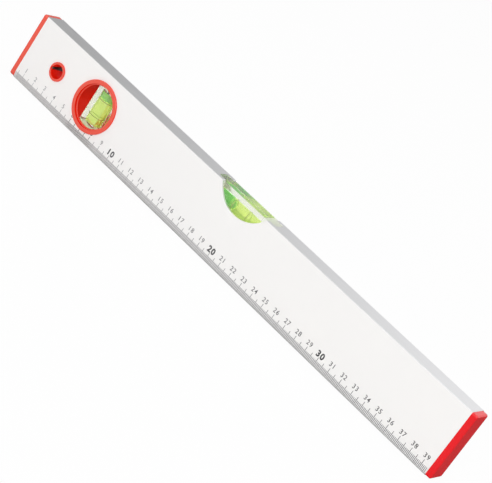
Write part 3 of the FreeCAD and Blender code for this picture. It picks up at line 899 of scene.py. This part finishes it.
def make_ink(name, haze_strength):
    """Matt grey ink under a painted haze of light towards the ruler's zero, but not beside the bezel.
    """
    material, tree, output = new_material(name)
    coords = add(tree, "ShaderNodeTexCoord")
    place = add(tree, "ShaderNodeSeparateXYZ", {0: coords.outputs["Object"]})
    # Painted light: a haze that pales the ink towards the ruler's zero, kept off near the bezel.
    left = add(tree, "ShaderNodeMapRange",
               {"Value": place.outputs["X"], "From Min": body_high.x, "From Max": body_low.x})
    specks = add(tree, "ShaderNodeTexNoise",
                 {"Vector": coords.outputs["Object"], "Scale": 1 / speck_width})
    spread = add(tree, "ShaderNodeMapRange",
                 {"Value": specks.outputs[0], "To Min": least_haze * haze_strength, "To Max": haze_strength})
    painted_haze_along = add(tree, "ShaderNodeMath", {0: left.outputs[0], 1: spread.outputs[0]},
                 operation="MULTIPLY")
    from_bezel = add(tree, "ShaderNodeMath", {0: place.outputs["X"], 1: plumb_axis_x},
                     operation="SUBTRACT")
    away = add(tree, "ShaderNodeMath", {0: from_bezel.outputs[0]}, operation="ABSOLUTE")
    haze_away_from_bezel = add(tree, "ShaderNodeMapRange",
                      {"Value": away.outputs[0], "From Min": haze_free_within, "From Max": haze_from})
    painted_haze = add(tree, "ShaderNodeMath", {0: painted_haze_along.outputs[0], 1: haze_away_from_bezel.outputs[0]},
               operation="MULTIPLY")
    tint = add(tree, "ShaderNodeMix",
               {"Factor": painted_haze.outputs[0], "A": colour("38383A"), "B": colour("B8B8BA")},
               data_type="RGBA")
    shader = add(tree, "ShaderNodeBsdfPrincipled",
                 {"Base Color": tint.outputs["Result"], "Roughness": 0.55})
    tree.links.new(shader.outputs[0], output.inputs["Surface"])
    return material


# Ink under the painted haze, full on the plain marks and weaker on the bold tens.
ink_with_painted_haze = make_ink("dark_grey_ink", haze_strength=1.0)
bold_ink_less_haze = make_ink("bold_dark_grey_ink_less_haze", haze_strength=0.35)


# %% [markdown]
# Ink has almost no thickness, but a picture in the material would need a drawn image, so the marks
# are real, very thin solids, sharp from any distance. A tick starts as a bent line that follows the
# bevel and the face, is pulled sideways to its width and then given a thickness.

# %% Printed ticks
ink_proud = 0.03 * mm
ink_sunk = 0.02 * mm
tick_width = 0.32 * mm
fine_tick_width = 0.28 * mm
tick_low = 0.9 * mm
bevel_depth = 0.6 * mm
face_y = body_low.y
zero_inset = 1.7 * mm
zero_x = cad_bounds[0][0] + zero_inset
tick_top = {"mm": bevel_height, "half": 6.4 * mm, "cm": 7.0 * mm}
printed_from = 5
printed_to = 394


def bevel_y(z):
    """The front surface at a height: the bevel leans in towards the base."""
    return face_y + bevel_depth * (1 - z / bevel_height)


def add_tick(shape, x, width, top):
    """One mark, from near the base up to its height."""
    heights = [tick_low, bevel_height]
    if top > bevel_height:
        heights.append(top)
    row = [shape.verts.new((x - width / 2, bevel_y(min(z, bevel_height)), z)) for z in heights]
    edges = [shape.edges.new(pair) for pair in zip(row, row[1:])]
    pulled = bmesh.ops.extrude_edge_only(shape, edges=edges)["geom"]
    moved = [item for item in pulled if isinstance(item, bmesh.types.BMVert)]
    bmesh.ops.translate(shape, verts=moved, vec=(width, 0, 0))


def make_ticks():
    """All ticks as one thin printed piece."""
    shape = bmesh.new()
    for millimetre in range(printed_from, printed_to + 1):
        x = zero_x + millimetre * mm
        if millimetre % 10 == 0:
            add_tick(shape, x, tick_width, tick_top["cm"])
        elif millimetre % 5 == 0:
            add_tick(shape, x, tick_width, tick_top["half"])
        else:
            add_tick(shape, x, fine_tick_width, tick_top["mm"])
    bmesh.ops.recalc_face_normals(shape, faces=shape.faces)
    for face in shape.faces:
        if face.normal.y > 0:
            face.normal_flip()
    bmesh.ops.translate(shape, verts=shape.verts, vec=(0, ink_sunk, 0))
    bmesh.ops.solidify(shape, geom=shape.faces, thickness=-(ink_proud + ink_sunk))
    bmesh.ops.recalc_face_normals(shape, faces=shape.faces)
    finish_piece("scale_ticks", shape, ink_with_painted_haze, "level_body")


make_ticks()


# %% [markdown]
# The numerals come from a text object, which is made a mesh before it is placed. Each is measured,
# so that it has the printed height whatever the font's own size is. Every tenth is larger and
# bolder, and takes less of the painted haze. The one at 7 cm fell where the hole for the plumb vial
# was cut, so it is gone.

# %% Printed numerals
numeral_height = 3.1 * mm
numeral_base = 8.0 * mm
tens_height = 4.4 * mm
tens_base = 6.9 * mm
digit_spacing = 1.2
digit_narrowing = 0.96
plain_boldness = 0.008
tens_boldness = 0.04
centimetre = 10 * mm
last_numeral = 39
cut_away = 7


def numeral_mesh(text, height, boldness):
    """A number, centred on x = 0 and standing on z = 0, that faces the front."""
    data = bpy.data.curves.new("numeral", "FONT")
    data.body = text
    data.align_x = "CENTER"
    data.space_character = digit_spacing
    data.size = 1
    data.offset = boldness
    holder = bpy.data.objects.new("numeral", data)
    bpy.context.scene.collection.objects.link(holder)
    bpy.context.view_layer.update()
    flat = holder.evaluated_get(bpy.context.evaluated_depsgraph_get())
    mesh = bpy.data.meshes.new_from_object(flat)
    bpy.data.objects.remove(holder)
    highest = max(v.co.y for v in mesh.vertices)
    lowest = min(v.co.y for v in mesh.vertices)
    scale = height / (highest - lowest)
    mesh.transform(Matrix.Diagonal((scale * digit_narrowing, scale, scale, 1)))
    mesh.transform(Matrix.Rotation(math.pi / 2, 4, "X"))
    return mesh


def make_numerals(name, numbers, height, base, boldness, ink):
    """Numerals of one size as one thin printed piece."""
    shape = bmesh.new()
    for number in numbers:
        mesh = numeral_mesh(str(number), height, boldness)
        mesh.transform(Matrix.Translation((zero_x + number * centimetre, face_y + ink_sunk, base)))
        shape.from_mesh(mesh)
        bpy.data.meshes.remove(mesh)
    pulled = bmesh.ops.extrude_face_region(shape, geom=shape.faces)["geom"]
    moved = [item for item in pulled if isinstance(item, bmesh.types.BMVert)]
    bmesh.ops.translate(shape, verts=moved, vec=(0, -(ink_proud + ink_sunk), 0))
    bmesh.ops.recalc_face_normals(shape, faces=shape.faces)
    finish_piece(name, shape, ink, "level_body")


tens = [10, 20, 30]
others = [n for n in range(1, last_numeral + 1) if n not in (*tens, cut_away)]
make_numerals("scale_numerals", others, numeral_height, numeral_base, plain_boldness, ink_with_painted_haze)
make_numerals("scale_tens", tens, tens_height, tens_base, tens_boldness, bold_ink_less_haze)
